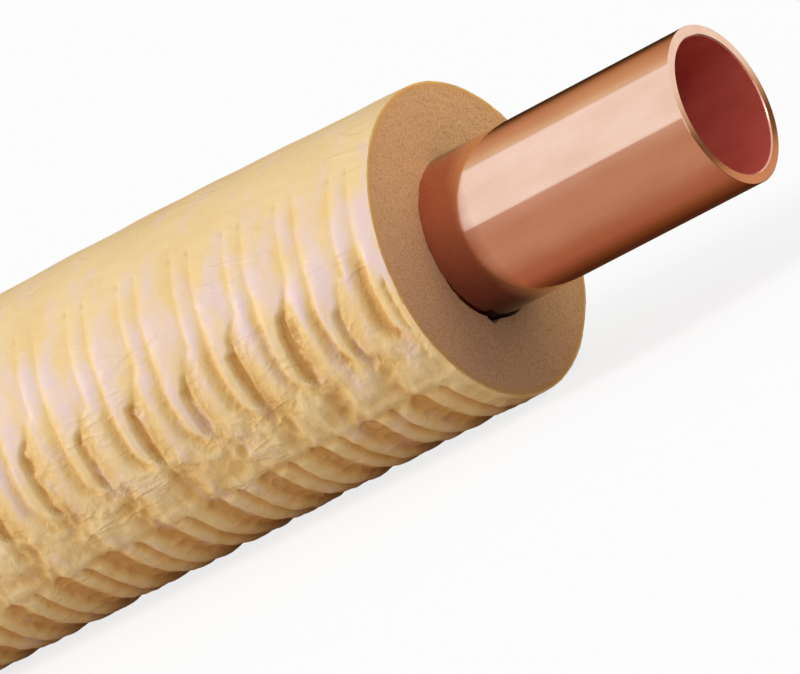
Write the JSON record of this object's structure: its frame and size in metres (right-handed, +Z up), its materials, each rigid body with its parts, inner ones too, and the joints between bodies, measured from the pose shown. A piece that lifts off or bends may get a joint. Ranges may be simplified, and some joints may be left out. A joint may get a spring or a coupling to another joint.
{
  "type": "insulated copper tube",
  "caption": "Straight copper tube in a foam sleeve with a ring-waved plastic jacket, bare at one end for a fitting, for carrying water or refrigerant.",
  "frame": {"origin": "centre of the tube's length, on the floor under the jacket", "axes": "+X along the tube toward its bare end, +Z up"},
  "size_m": [1, 0.03, 0.03],
  "materials": {
    "copper": "bright drawn copper with fine lines along the tube",
    "foam": "tan fine-celled foam, open cells on the cut face",
    "jacket": "cream plastic with a soft sheen, embossed with ring waves"
  },
  "bodies": {
    "root": {"copper_tube": "copper", "foam_insulation": "foam", "film_jacket": "jacket"}
  },
  "joints": []
}
